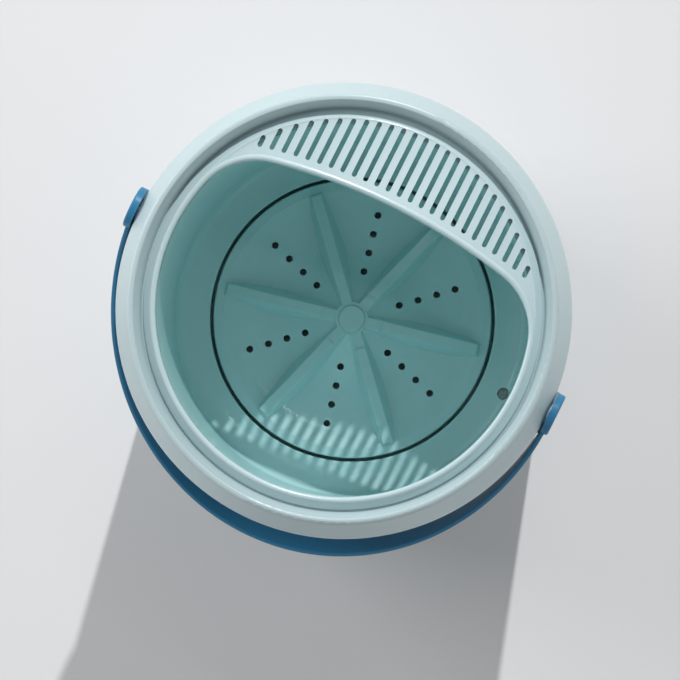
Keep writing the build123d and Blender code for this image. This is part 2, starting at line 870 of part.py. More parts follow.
def pulsator():
    """Dished disc with ribs, drain holes, and a hub that takes the shaft, its screw and the cap."""
    path = pulsator_top()
    rounds = [pulsator_edge_round, land_round, bank_round, valley_round, 0]
    disc = turned(wall_section([*path, (rib_start, hub_z - hub_step)], rounds, -pulsator_wall))
    under = moved(path, -pulsator_wall / 2)
    keep = turned(
        section(
            (0, hub_z, 0),
            (hub_radius, hub_z, 0),
            (pulsator_radius, hub_z, 0),
            (under[1][0], under[1][1], 0),
            (under[2][0], under[2][1], 0),
            (under[3][0], under[3][1], 0),
            (under[4][0], under[4][1], 0),
            (0, under[5][1], 0),
        )
    )
    body = disc + rod(sleeve_radius, sleeve_z, hub_z)
    body += [rib & keep for rib in pulsator_ribs()]
    body -= rod(cap_radius + fixed_gap, cap_seat_z, hub_z + past)
    body -= rod(screw_pocket_radius, screw_seat_z, hub_z)
    body -= rod(screw_radius + body_gap, sleeve_z - past, hub_z)
    body -= keyed_bore(sleeve_z - past, shaft_top_z)
    holes = []
    for k in range(holes_in_row):
        for x, y in circle_places(rib_count, hole_first + k * hole_pitch, hole_angle):
            holes.append(rod(hole_radius, valley_z - 2 * pulsator_wall, hub_z, x, y))
    return body - holes


def keyed_bore(low, high):
    """Bore for the shaft's flatted end."""
    bore = rod(shaft_radius + running_gap, low, high)
    flat_x = shaft_radius - shaft_flat + running_gap
    return bore - block(flat_x, 3 * shaft_radius, -2 * shaft_radius, 2 * shaft_radius, low, high)


def hub_cap():
    """Round cap that plugs into the hub over the screw."""
    top = hub_z + cap_height
    corners = ((0, cap_seat_z, 0), (cap_radius, cap_seat_z, 0), (cap_radius, top, cap_round), (0, top, 0))
    return turned(section(*corners))


def pulsator_screw():
    """Screw that clamps the pulsator to the shaft."""
    return pan_screw(0, 0, screw_seat_z, up=-1)


# Drive


def drive_shaft():
    """Steel shaft with a flat at each end, drilled at its top for the pulsator's screw."""
    low = belt_z - pulley_drop / 2
    shaft = rod(shaft_radius, low, shaft_top_z)
    flat_x = shaft_radius - shaft_flat
    for z0, z1 in ((sleeve_z, shaft_top_z + past), (low - past, housing_z - body_gap)):
        shaft -= block(flat_x, 2 * shaft_radius, -2 * shaft_radius, 2 * shaft_radius, z0, z1)
    shaft -= rod(screw_radius + running_gap, screw_seat_z - screw_length - past, shaft_top_z + past)
    return shaft


def shaft_seal():
    """Rubber seal in the tub's hub, with a groove between its two lips."""
    top = seal_z + seal_height
    bore = shaft_radius + running_gap
    profile = section(
        (bore, seal_z, 0),
        (seal_radius, seal_z, 0),
        (seal_radius, top, 0),
        (seal_radius - 3 * seal_lip, top, 0),
        (seal_radius - 4 * seal_lip, top - seal_groove, seal_groove_round),
        (bore + 2 * seal_lip, top - seal_groove, seal_groove_round),
        (bore + seal_lip, top, 0),
        (bore, top, 0),
    )
    return turned(profile)


def bearing(low):
    """Ball bearing drawn closed, with a shallow channel between its rings."""
    bore = shaft_radius + running_gap
    middle = (bore + bearing_radius) / 2
    ring = tube(bearing_radius, bore, low, low + bearing_height)
    half = bearing_channel / 2
    top = low + bearing_height
    return ring - tube(middle + half, middle - half, top - bearing_channel_depth, top + past)


def bearing_housing():
    """Flanged sleeve that carries the shaft in two bearings under the tub."""
    housing = rod(housing_radius, housing_z, plate_z)
    housing += rod(housing_flange_radius, plate_z - housing_flange, plate_z)
    corners = (
        (housing_radius - bite, plate_z - bite),
        (housing_radius + housing_fin_reach, plate_z - bite),
        (housing_radius + housing_fin_reach, plate_z - housing_flange),
        (housing_radius, plate_z - housing_fin_height),
        (housing_radius - bite, plate_z - housing_fin_height),
    )
    outline = Plane.XZ * make_face(Polyline(*corners, close=True).edges())
    fin = extrude(outline, housing_fin_width / 2, both=True)
    for k in range(housing_screw_count):
        housing += Rot(0, 0, k * 360.0 / housing_screw_count) * fin
    pocket = bearing_radius + fixed_gap
    housing -= rod(pocket, plate_z - bearing_height, plate_z + past)
    housing -= rod(pocket, housing_z - past, housing_z + bearing_height)
    housing -= rod(shaft_radius + housing_bore_gap, housing_z - past, plate_z + past)
    for x, y in housing_screw_places:
        housing -= rod(screw_radius + body_gap, plate_z - housing_flange - past, plate_z + past, x, y)
    return housing


def motor_plate():
    """Steel plate under the tub that carries the bearing housing and the motor."""
    sheet = RectangleRounded(plate_width, plate_length, plate_corner)
    window = RectangleRounded(plate_window_width, plate_window_length, plate_window_corner)
    sheet -= Pos(0, -motor_offset) * window
    plate = extrude(Pos(0, 0, plate_z) * sheet, plate_thickness)
    plate -= rod(plate_hub_hole, plate_z - past, plate_top_z + past)
    plate -= rod(plate_shaft_hole, plate_z - past, plate_top_z + past, 0, motor_offset)
    for x, y in housing_screw_places + plate_screw_places + motor_screw_places:
        plate -= rod(screw_radius + body_gap, plate_z - past, plate_top_z + past, x, y)
    return plate


def motor():
    """Motor can with end caps, bored for its own shaft."""
    top = plate_z
    low = motor_z
    end_radius = motor_radius - motor_end_step
    can = turned(
        section(
            (0, low, 0),
            (motor_nose_radius, low, 0),
            (motor_nose_radius, low + motor_nose, 0),
            (end_radius, low + motor_nose, motor_end_round),
            (end_radius, low + motor_nose + motor_low_end, 0),
            (motor_radius, low + motor_nose + motor_low_end, 0),
            (motor_radius, top - motor_top_end, 0),
            (end_radius, top - motor_top_end, 0),
            (end_radius, top, 0),
            (0, top, 0),
        )
    )
    can -= rod(motor_shaft_radius + running_gap, low - past, top - motor_bore_end)
    for x, y in circle_places(motor_screw_count, motor_screw_circle, screw_first):
        can -= rod(screw_radius + running_gap, top - screw_length, top + past, x, y)
    return Pos(0, motor_offset, 0) * can


def motor_shaft():
    """Rotor shaft, from inside the motor down to the small pulley."""
    low = belt_z - belt_width / 2 - pulley_rim - 2 * past
    high = plate_z - motor_bore_end - 2 * past
    return rod(motor_shaft_radius, low, high, 0, motor_offset)


def pulley(radius, bore, hub, keyed):
    """Flat-belt pulley between two rims, turned about its own axis."""
    low = belt_z - belt_width / 2 - body_gap
    high = belt_z + belt_width / 2 + body_gap
    lip = radius + pulley_lip
    wheel = rod(radius, low - bite, high + bite)
    wheel += rod(lip, low - pulley_rim, low)
    wheel += rod(lip, high, high + pulley_rim)
    if hub < radius - 3 * pulley_rim:
        inside = radius - pulley_web
        top_pocket = tube(inside, hub, belt_z + pulley_web / 2, high + pulley_rim + past)
        low_pocket = tube(inside, hub, low - pulley_rim - past, belt_z - pulley_web / 2)
        wheel = wheel - top_pocket - low_pocket
        for x, y in circle_places(pulley_hole_count, pulley_hole_circle):
            wheel -= rod(pulley_hole_radius, low, high, x, y)
    if keyed:
        return wheel - keyed_bore(low - pulley_rim - past, high + pulley_rim + past)
    return wheel - rod(bore + running_gap, low - pulley_rim - past, high + pulley_rim + past)


def drive_pulley():
    """Large pulley on the pulsator's shaft."""
    return pulley(drive_pulley_radius, shaft_radius, pulley_hub_radius, keyed=True)


def motor_pulley():
    """Small pulley on the motor's shaft."""
    wheel = pulley(motor_pulley_radius, motor_shaft_radius, motor_pulley_radius, keyed=False)
    return Pos(0, motor_offset, 0) * wheel


def pulley_nut():
    """Nut that holds the large pulley on the shaft."""
    top = belt_z - belt_width / 2 - body_gap - pulley_rim
    nut = extrude(Pos(0, 0, top - nut_height) * RegularPolygon(nut_radius, 6), nut_height)
    return nut - rod(shaft_radius + running_gap, top - nut_height - past, top + past)


def belt_loop(grow):
    """Outline round both pulleys, grown from their running faces."""
    far = Pos(0, motor_offset) * Circle(motor_pulley_radius + grow)
    near = Circle(drive_pulley_radius + grow)
    return make_hull([*near.edges(), *far.edges()])


def drive_belt():
    """Flat belt round both pulleys."""
    loop = belt_loop(body_gap + belt_thickness) - belt_loop(body_gap)
    return extrude(Pos(0, 0, belt_z - belt_width / 2) * loop, belt_width)


# Bail handle


def bail_frame(solid):
    """Move a solid drawn with the bail along +Y to the folded bail's place."""
    return Pos(0, 0, pivot_z) * Rot(180.0 + bail_fold, 0, 0) * solid


def half_ellipse(half_width, length):
    """Half of an ellipse on the +Y side, as a face."""
    full = Rot(0, 0, 90) * Ellipse(length, half_width)
    return full & (Pos(0, length / 2) * Rectangle(4 * half_width, length))


def handle():
    """Flat strap bent to a half ellipse, with a round eye at each end."""
    inner = eye_x + strap_gap
    outer = inner + strap_thickness
    loop = half_ellipse(outer, bail_length) - half_ellipse(inner, bail_length - strap_thickness)
    strap = extrude(loop, strap_width / 2, both=True)
    long_edges = strap.edges().filter_by(lambda edge: edge.length > bail_length)
    strap = fillet(long_edges, strap_round)
    recess = Rot(0, 90, 0) * rod(eye_radius + body_gap, cap_x, 2 * rim_radius)
    strap = strap - recess - mirror(recess, Plane.YZ)
    eye = Rot(0, 90, 0) * rod(eye_radius, eye_x, cap_x)
    bore = Rot(0, 90, 0) * rod(pin_radius + running_gap, -2 * rim_radius, 2 * rim_radius)
    bail = strap + eye + mirror(eye, Plane.YZ) - bore
    return bail_frame(bail)


def handle_cap(side):
    """Round cap on an eye, hollow over the pin's head."""
    pocket = pin_head_radius + 2 * body_gap
    depth = pin_head + 2 * body_gap
    cap = turned(
        section(
            (pocket, 0, 0),
            (eye_radius, 0, 0),
            (eye_radius, handle_cap_height, handle_cap_round),
            (0, handle_cap_height, 0),
            (0, depth, 0),
            (pocket, depth, 0),
        )
    )
    return Pos(side * cap_x, 0, pivot_z) * Rot(0, side * 90, 0) * cap


def pivot_pin(side):
    """Headed pin, fixed in the rim's boss, on which one eye turns."""
    seat = -(eye_thickness + body_gap)
    pin = rod(pin_thread_radius, seat - pin_thread_length, seat)
    pin += rod(pin_radius, seat, running_gap)
    pin += rod(pin_head_radius, running_gap, pin_head)
    return Pos(side * cap_x, 0, pivot_z) * Rot(0, side * 90, 0) * pin


# Front panel


def control_panel():
    """Fascia with a plug behind it, holes for the buttons and lights, and posts for the board."""
    front = extrude(panel_plane * stadium(), fascia_proud)
    front += extrude(panel_plane * stadium(), -2 * fascia_plug)
    front -= cone(fixed_gap)
    plug = extrude(panel_plane * stadium(fascia_plug), -casing_wall - fascia_depth)
    pocket_plane = panel_plane.offset(-casing_wall)
    pocket = extrude(pocket_plane * stadium(fascia_plug + casing_wall), -fascia_depth - past)
    panel = front + plug - pocket
    for y in (-board_post_y, board_post_y):
        panel += on_plane(panel_plane, board_post_radius, -board_depth, bite - casing_wall, 0, y)
        pilot = board_post_bore + running_gap
        panel -= on_plane(panel_plane, pilot, -board_depth - past, -casing_wall, 0, y)
    for y in (power_button_y, mode_button_y):
        panel -= on_plane(panel_plane, button_radius + body_gap, -board_depth, 2 * fascia_proud, 0, y)
    for x in light_places:
        panel -= on_plane(panel_plane, light_radius + fixed_gap, -board_depth, 2 * fascia_proud, x, light_y)
    return panel


def panel_button(y):
    """Round button with a dished face, a rim that keeps it in, and a stem for its switch."""
    top = fascia_proud + button_proud
    low = -casing_wall - body_gap - button_rim_height
    stem_end = -board_depth + switch_height + button_travel + body_gap
    button = rod(button_radius, low + bite, top)
    button = fillet(button.edges().filter_by(GeomType.CIRCLE).group_by(Axis.Z)[-1], button_round)
    button -= Pos(0, 0, top + button_dish_radius - button_dish) * Sphere(button_dish_radius)
    button += rod(button_radius + button_rim, low, low + button_rim_height)
    button += rod(button_stem_radius, stem_end, low + bite)
    return panel_plane * Pos(0, y, 0) * button


def indicator_light(x):
    """Clear pipe from the board's lamp to the fascia's face."""
    low = -board_depth + led_height + 2 * body_gap
    flange_top = -casing_wall - fixed_gap
    pipe = rod(light_radius, low, fascia_proud)
    pipe += rod(light_radius + light_flange, flange_top - light_flange_height, flange_top)
    return panel_plane * Pos(x, light_y, 0) * pipe


def control_board():
    """Board with a switch behind each button, a lamp behind each light, and its larger parts."""
    back = -board_depth
    board_length = 2 * board_post_y + board_width / 2
    outline = SlotOverall(board_length, board_width, rotation=90)
    board = extrude(Pos(0, 0, back - board_thickness) * outline, board_thickness)
    half = switch_size / 2
    for y in (power_button_y, mode_button_y):
        board += block(-half, half, y - half, y + half, back - bite, back + switch_height)
    for x in light_places:
        board += rod(light_radius, back - bite, back + led_height, x, light_y)
    under = back - board_thickness + bite
    relay_x = relay_width / 2
    board += block(-relay_x, relay_x, relay_y - relay_length / 2, relay_y + relay_length / 2,
                   under - relay_height, under)
    board += rod(capacitor_radius, under - capacitor_height, under, capacitor_x, capacitor_y)
    for y in (-board_post_y, board_post_y):
        board -= rod(board_post_bore + fixed_gap, back - board_thickness - past, back + past, 0, y)
    return panel_plane * board


def board_screw(y):
    """Small screw through the board into its post."""
    seat = -board_depth - board_thickness
    shank = rod(board_post_bore, seat, seat + board_screw_length)
    head = rod(2 * board_post_bore, seat - board_screw_head, seat)
    return panel_plane * Pos(0, y, 0) * (shank + head)


# Power socket


def power_inlet():
    """Round low-voltage socket with a centre pin, passed through the wall from outside."""
    socket = rod(inlet_radius, -inlet_length, inlet_flange)
    socket += rod(inlet_flange_radius, fixed_gap, inlet_flange)
    socket -= rod(inlet_bore, inlet_flange - inlet_bore_depth, inlet_flange + past)
    socket += rod(inlet_pin, bite - inlet_length, inlet_pin_top)
    return inlet_plane * socket


def inlet_nut():
    """Nut that clamps the socket from inside the casing."""
    seat = -casing_wall - 2 * fixed_gap
    nut = extrude(Pos(0, 0, seat - inlet_nut_height) * RegularPolygon(inlet_nut_radius, 6), inlet_nut_height)
    nut -= rod(inlet_radius + running_gap, seat - inlet_nut_height - past, seat + past)
    return inlet_plane * nut


os.makedirs("parts", exist_ok=True)

save("top_rim", top_rim())
save("outer_casing", outer_casing())
save("base_cover", base_cover())
save("rubber_feet", *[rubber_foot(x, y) for x, y in foot_places])
save("base_screws", *[pan_screw(x, y, foot_height) for x, y in pillar_places])
save("rim_screws", *[pan_screw(x, y, ledge_z - ledge_thickness) for x, y in rim_screw_places])

save("strainer_ring", strainer_ring())
save("tub_gasket", tub_gasket())
save("wash_tub", wash_tub())
save("tub_lens", tub_lens())
save("lamp_board", lamp_board())

save("pulsator", pulsator())
save("hub_cap", hub_cap())
save("pulsator_screw", pulsator_screw())

save("drive_shaft", drive_shaft())
save("shaft_seal", shaft_seal())
save("upper_bearing", bearing(plate_z - bearing_height))
save("lower_bearing", bearing(housing_z))
save("bearing_housing", bearing_housing())
save("housing_screws", *[pan_screw(x, y, plate_z - housing_flange) for x, y in housing_screw_places])
save("motor_plate", motor_plate())
save("plate_screws", *[pan_screw(x, y, plate_z, length=short_screw) for x, y in plate_screw_places])
save("motor", motor())
motor_screws = [pan_screw(x, y, plate_top_z, up=-1, length=short_screw) for x, y in motor_screw_places]
save("motor_screws", *motor_screws)
save("motor_shaft", motor_shaft())
save("motor_pulley", motor_pulley())
save("drive_pulley", drive_pulley())
save("pulley_nut", pulley_nut())
save("drive_belt", drive_belt())

save("handle", handle())
save("handle_cap_left", handle_cap(-1))
save("handle_cap_right", handle_cap(1))
save("pivot_pin_left", pivot_pin(-1))
save("pivot_pin_right", pivot_pin(1))

save("control_panel", control_panel())
save("power_button", panel_button(power_button_y))
save("mode_button", panel_button(mode_button_y))
save("indicator_lights", *[indicator_light(x) for x in light_places])
save("control_board", control_board())
save("board_screws", *[board_screw(y) for y in (-board_post_y, board_post_y)])

save("power_inlet", power_inlet())
save("inlet_nut", inlet_nut())
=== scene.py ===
import math

import bmesh
import bpy
from mathutils import Matrix, Vector


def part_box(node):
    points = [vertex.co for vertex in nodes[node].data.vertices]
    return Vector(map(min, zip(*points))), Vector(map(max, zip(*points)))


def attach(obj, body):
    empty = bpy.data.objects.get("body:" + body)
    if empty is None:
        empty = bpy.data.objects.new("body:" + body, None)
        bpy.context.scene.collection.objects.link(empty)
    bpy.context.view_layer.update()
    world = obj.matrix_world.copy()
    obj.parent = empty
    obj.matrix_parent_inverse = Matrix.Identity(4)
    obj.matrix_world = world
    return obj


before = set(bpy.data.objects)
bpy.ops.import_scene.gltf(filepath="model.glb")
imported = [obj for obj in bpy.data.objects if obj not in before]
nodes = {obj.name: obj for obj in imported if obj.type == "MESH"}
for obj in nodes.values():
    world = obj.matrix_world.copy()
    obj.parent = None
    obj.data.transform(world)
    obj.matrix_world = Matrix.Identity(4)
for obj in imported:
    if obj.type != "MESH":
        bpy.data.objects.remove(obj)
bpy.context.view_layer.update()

scene = bpy.context.scene


# Camera

# The photograph is square. Its focal length and the points below are in its own pixels.
photo_size = 680
focal_px = 5610.0
nadir_px = (549.0, 516.0)
rim_centre_px = (342.1, 309.0)
x_axis_turn = math.radians(26.4)
rim_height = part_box("top_rim")[1].z
camera_distance = 3.40
camera_near = 0.05
camera_far = 50.0
sensor_width = 36.0


def make_camera():
    """Camera almost straight above, turned so that the pivots run down to the right."""
    middle = photo_size / 2
    down = Vector((nadir_px[0] - middle, middle - nadir_px[1], -focal_px)).normalized()
    up = -down
    x_axis = Vector((math.cos(x_axis_turn), -math.sin(x_axis_turn), 0.0))
    x_axis = (x_axis - up * x_axis.dot(up)).normalized()
    y_axis = up.cross(x_axis)
    seen = Matrix((x_axis, y_axis, up)).transposed()
    rim_seen = Vector((rim_centre_px[0] - middle, middle - rim_centre_px[1], -focal_px)) / focal_px
    turn = seen.transposed()
    place = Vector((0.0, 0.0, rim_height)) - turn @ (rim_seen * camera_distance)

    camera = bpy.data.objects.new("camera", bpy.data.cameras.new("camera"))
    camera.data.sensor_width = sensor_width
    camera.data.lens = focal_px / photo_size * sensor_width
    camera.data.clip_start = camera_near
    camera.data.clip_end = camera_far
    camera.matrix_world = Matrix.Translation(place) @ turn.to_4x4()
    scene.collection.objects.link(camera)
    scene.camera = camera


# Lamps, world and floor

key_towards = Vector((-0.178, 0.698, 0.663))
key_distance = 9.0
key_size = 0.15
key_power = 515.0
strip_place = Vector((-0.05, 0.70, 2.30))
strip_size = (0.55, 0.06)
strip_power = 1.5
side_place = Vector((-2.3, 0.0, 1.0))
side_power = 27.0
east_place = Vector((2.0, 1.2, 1.0))
east_power = 4.0
wall_lamp_size = (1.6, 1.6)
sky_low = 0.56
sky_high = 0.10
backdrop_low = (0.74, 0.74, 0.75)
backdrop_high = (0.30, 0.30, 0.31)
ceiling_start = 0.50
ceiling_full = 0.85
floor_colour = (0.78, 0.78, 0.79)
floor_rough = 0.9
floor_specular = 0.1
floor_size = 30.0


def make_lamp(name, from_rim, size, power, shape="RECTANGLE"):
    """A soft white lamp at a place measured from the middle of the rim, which it faces."""
    lamp = bpy.data.lights.new(name, "AREA")
    lamp.shape = shape
    lamp.size, lamp.size_y = size
    lamp.energy = power
    holder = bpy.data.objects.new(name, lamp)
    holder.location = from_rim + Vector((0.0, 0.0, rim_height))
    holder.rotation_mode = "QUATERNION"
    holder.rotation_quaternion = from_rim.to_track_quat("Z", "Y")
    scene.collection.objects.link(holder)


def make_world():
    """Pale walls and a dimmer ceiling give even light, and a backdrop where the world is seen."""
    world = bpy.data.worlds.new("sky")
    scene.world = world
    world.use_nodes = True
    tree = world.node_tree
    tree.nodes.clear()
    output = tree.nodes.new("ShaderNodeOutputWorld")
    direction = tree.nodes.new("ShaderNodeSeparateXYZ")
    around = tree.nodes.new("ShaderNodeTexCoord").outputs["Generated"]
    tree.links.new(around, direction.inputs["Vector"])
    ceiling = tree.nodes.new("ShaderNodeMapRange")
    ceiling.interpolation_type = "SMOOTHSTEP"
    ceiling.inputs["From Min"].default_value = ceiling_start
    ceiling.inputs["From Max"].default_value = ceiling_full
    tree.links.new(direction.outputs["Z"], ceiling.inputs["Value"])

    def room(low, high):
        """One background that grades from the walls' colour to the ceiling's."""
        shade = tree.nodes.new("ShaderNodeMixRGB")
        shade.inputs["Color1"].default_value = (*low, 1.0)
        shade.inputs["Color2"].default_value = (*high, 1.0)
        tree.links.new(ceiling.outputs["Result"], shade.inputs["Fac"])
        background = tree.nodes.new("ShaderNodeBackground")
        tree.links.new(shade.outputs["Color"], background.inputs["Color"])
        return background

    light = room([sky_low] * 3, [sky_high] * 3)
    seen = room(backdrop_low, backdrop_high)
    path = tree.nodes.new("ShaderNodeLightPath")
    seen_ray = path.outputs["Is Camera Ray"]
    for ray in ("Is Glossy Ray", "Is Transmission Ray"):
        either = tree.nodes.new("ShaderNodeMath")
        either.operation = "MAXIMUM"
        tree.links.new(seen_ray, either.inputs[0])
        tree.links.new(path.outputs[ray], either.inputs[1])
        seen_ray = either.outputs["Value"]
    mix = tree.nodes.new("ShaderNodeMixShader")
    tree.links.new(seen_ray, mix.inputs["Fac"])
    tree.links.new(light.outputs["Background"], mix.inputs[1])
    tree.links.new(seen.outputs["Background"], mix.inputs[2])
    tree.links.new(mix.outputs["Shader"], output.inputs["Surface"])


def make_floor():
    """Plain pale floor under the feet."""
    half = floor_size / 2
    mesh = bpy.data.meshes.new("floor")
    corners = [(-half, -half, 0.0), (half, -half, 0.0), (half, half, 0.0), (-half, half, 0.0)]
    mesh.from_pydata(corners, [], [(0, 1, 2, 3)])
    floor = bpy.data.objects.new("floor", mesh)
    scene.collection.objects.link(floor)
    material = bpy.data.materials.new("floor_paint")
    material.use_nodes = True
    shader = material.node_tree.nodes["Principled BSDF"]
    shader.inputs["Base Color"].default_value = (*floor_colour, 1.0)
    shader.inputs["Roughness"].default_value = floor_rough
    shader.inputs["Specular IOR Level"].default_value = floor_specular
    mesh.materials.append(material)


# Rib ends

# Each rib of the pulsator keeps its width to a blunt end. Sizes are in metres.
rib_count = 6
rib_first = math.radians(12.6)
rib_width = 0.0064
rib_draft = math.tan(math.radians(23.0))
rib_round = 0.0008
rib_proud = 0.00005
hub_radius = 0.0095
hub_height = 0.166
rib_end_radius = 0.082
rib_end_height = 0.158
rib_fall = (hub_height - rib_end_height) / (rib_end_radius - hub_radius)
# Radius and height of the foot at three places outwards, each sunk in the disc.
rib_foot = ((0.058, 0.1488), (0.073, 0.1506), (rib_end_radius, 0.1536))


def rib_end_mesh():
    """One rib's outer half: flat crown, sloped sides and end, and a foot sunk in the disc."""
    shape = bmesh.new()
    crown = []
    foot = []
    half = rib_width / 2 + rib_proud
    for radius, low in rib_foot:
        high = hub_height - (radius - hub_radius) * rib_fall + rib_proud
        out = (high - low) * rib_draft if radius == rib_end_radius else 0.0
        low_half = half + (high - out * rib_fall - low) * rib_draft
        crown.append([shape.verts.new((radius, side * half, high)) for side in (-1, 1)])
        foot.append([shape.verts.new((radius + out, side * low_half, low)) for side in (-1, 1)])
    for k in range(len(rib_foot) - 1):
        shape.faces.new((crown[k][0], crown[k + 1][0], crown[k + 1][1], crown[k][1]))
        shape.faces.new((foot[k][0], foot[k][1], foot[k + 1][1], foot[k + 1][0]))
        shape.faces.new((foot[k][0], foot[k + 1][0], crown[k + 1][0], crown[k][0]))
        shape.faces.new((foot[k + 1][1], foot[k][1], crown[k][1], crown[k + 1][1]))
    shape.faces.new((crown[0][0], crown[0][1], foot[0][1], foot[0][0]))
    shape.faces.new((crown[-1][1], crown[-1][0], foot[-1][0], foot[-1][1]))
    rim = [shape.edges.get((crown[-1][0], crown[-1][1]))]
    for k in range(len(rib_foot) - 1):
        for side in (0, 1):
            rim.append(shape.edges.get((crown[k][side], crown[k + 1][side])))
    for side in (0, 1):
        rim.append(shape.edges.get((crown[-1][side], foot[-1][side])))
    bmesh.ops.bevel(shape, geom=rim, offset=rib_round, segments=3, profile=0.5, affect="EDGES")
    return shape


def make_rib_ends():
    """Blunt outer halves over the six ribs, as one piece that turns with the pulsator."""
    whole = bmesh.new()
    for k in range(rib_count):
        one = rib_end_mesh()
        one.transform(Matrix.Rotation(rib_first + k * math.tau / rib_count, 4, "Z"))
        part = bpy.data.meshes.new("rib_end")
        one.to_mesh(part)
        one.free()
        whole.from_mesh(part)
        bpy.data.meshes.remove(part)
    bmesh.ops.recalc_face_normals(whole, faces=whole.faces)
    mesh = bpy.data.meshes.new("pulsator_rib_ends")
    whole.to_mesh(mesh)
    whole.free()
    piece = bpy.data.objects.new("pulsator_rib_ends", mesh)
    scene.collection.objects.link(piece)
    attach(piece, "pulsator")
    return piece


# Materials

plastic_ior = 1.49
coat_rough = 0.08


class Surface:
    """A material under construction: its shader, its texture space, and ways to add detail."""

    def __init__(self, name, metal=0.0, coat=0.0):
        self.material = bpy.data.materials.new(name)
        self.material.use_nodes = True
        self.tree = self.material.node_tree
        self.shader = self.tree.nodes["Principled BSDF"]
        self.shader.inputs["Metallic"].default_value = metal
        self.shader.inputs["IOR"].default_value = plastic_ior
        self.shader.inputs["Coat Weight"].default_value = coat
        self.shader.inputs["Coat Roughness"].default_value = coat_rough
        self.place = self.tree.nodes.new("ShaderNodeTexCoord").outputs["Object"]

    def link(self, output, socket):
        """Join an output to an input."""
        self.tree.links.new(output, socket)

    def noise(self, scale, detail=3.0):
        """Cloudy noise from 0 to 1, with a number of cycles in a metre."""
        texture = self.tree.nodes.new("ShaderNodeTexNoise")
        texture.inputs["Scale"].default_value = scale
        texture.inputs["Detail"].default_value = detail
        self.link(self.place, texture.inputs["Vector"])
        return texture.outputs["Fac"]

    def rings(self, scale, distortion):
        """Rings round the machine's axis, as a lathe leaves in a mould."""
        texture = self.tree.nodes.new("ShaderNodeTexWave")
        texture.wave_type = "RINGS"
        texture.rings_direction = "Z"
        texture.inputs["Scale"].default_value = scale
        texture.inputs["Distortion"].default_value = distortion
        self.link(self.place, texture.inputs["Vector"])
        return texture.outputs["Fac"]

    def bands(self, scale, direction, distortion=0.0):
        """Straight bands across one direction."""
        texture = self.tree.nodes.new("ShaderNodeTexWave")
        texture.bands_direction = direction
        texture.inputs["Scale"].default_value = scale
        texture.inputs["Distortion"].default_value = distortion
        self.link(self.place, texture.inputs["Vector"])
        return texture.outputs["Fac"]

    def cells(self, scale):
        """Flat patches of random brightness, as in zinc or a pressed board."""
        texture = self.tree.nodes.new("ShaderNodeTexVoronoi")
        texture.inputs["Scale"].default_value = scale
        self.link(self.place, texture.inputs["Vector"])
        return texture.outputs["Color"]

    def colour(self, pattern, first, second):
        """Base colour between two colours by a pattern."""
        mix = self.tree.nodes.new("ShaderNodeMixRGB")
        mix.inputs["Color1"].default_value = (*first, 1.0)
        mix.inputs["Color2"].default_value = (*second, 1.0)
        self.link(pattern, mix.inputs["Fac"])
        self.link(mix.outputs["Color"], self.shader.inputs["Base Color"])

    def tint(self, pattern, colour, spread):
        """Base colour a little darker and lighter than one colour."""
        darker = [c * (1.0 - spread) for c in colour]
        lighter = [min(c * (1.0 + spread), 1.0) for c in colour]
        self.colour(pattern, darker, lighter)

    def rough(self, pattern, low, high):
        """Roughness between two values by a pattern."""
        shade = self.tree.nodes.new("ShaderNodeMapRange")
        shade.inputs["To Min"].default_value = low
        shade.inputs["To Max"].default_value = high
        self.link(pattern, shade.inputs["Value"])
        self.link(shade.outputs["Result"], self.shader.inputs["Roughness"])

    def relief(self, *layers):
        """Fine relief from patterns, each with its height in metres."""
        normal = None
        for pattern, height in layers:
            bump = self.tree.nodes.new("ShaderNodeBump")
            bump.inputs["Distance"].default_value = height
            self.link(pattern, bump.inputs["Height"])
            if normal is not None:
                self.link(normal, bump.inputs["Normal"])
            normal = bump.outputs["Normal"]
        self.link(normal, self.shader.inputs["Normal"])

    def dress(self, *names):
        """Give CAD nodes this material."""
        for name in names:
            slots = nodes[name].data.materials
            slots.clear()
            slots.append(self.material)


# Single colours are tinted a little both ways. Pairs are the two ends of a pattern.
body_colour = (0.485, 0.61, 0.635)
# The strainer ring is the same plastic as the rim; its lighter, more mint colour here is painted
# light standing in for bounced light in the strainer and groove.
ring_colour_painted_bounce = (0.54, 0.69, 0.72)
tub_colour = (0.49, 0.76, 0.77)
blue_colour = (0.036, 0.20, 0.37)
button_colour = (0.74, 0.84, 0.87)
cover_colour = (0.44, 0.55, 0.57)
black_colour = (0.035, 0.036, 0.04)
clear_colour = (0.72, 0.86, 0.86)
rubber_colour = (0.075, 0.08, 0.085)
belt_colour = (0.03, 0.03, 0.032)
paint_colour = (0.05, 0.052, 0.056)
zinc_colours = ((0.52, 0.52, 0.50), (0.68, 0.69, 0.70))
shaft_colours = ((0.58, 0.58, 0.59), (0.70, 0.71, 0.72))
plate_colours = ((0.48, 0.50, 0.52), (0.66, 0.68, 0.70))
cast_colours = ((0.54, 0.55, 0.56), (0.66, 0.67, 0.68))
board_colours = ((0.012, 0.11, 0.045), (0.035, 0.22, 0.09))

# Lowest and highest roughness. The render's noise filter changes its way of working near 0.27, and
# a range that crosses this value shows patchy contours.
body_rough = (0.29, 0.34)
ring_rough = (0.21, 0.25)
tub_rough = (0.38, 0.42)
blue_rough = (0.32, 0.38)
button_rough = (0.18, 0.26)
cover_rough = (0.42, 0.58)
black_rough = (0.35, 0.50)
clear_rough = (0.10, 0.25)
rubber_rough = (0.62, 0.80)
belt_rough = (0.55, 0.75)
zinc_rough = (0.29, 0.45)
shaft_rough = (0.16, 0.25)
plate_rough = (0.32, 0.50)
cast_rough = (0.42, 0.62)
paint_rough = (0.30, 0.45)
board_rough = (0.30, 0.42)

moulding_coat = 0.3
board_coat = 0.4
blue_specular = 0.25
clear_transmission = 0.75


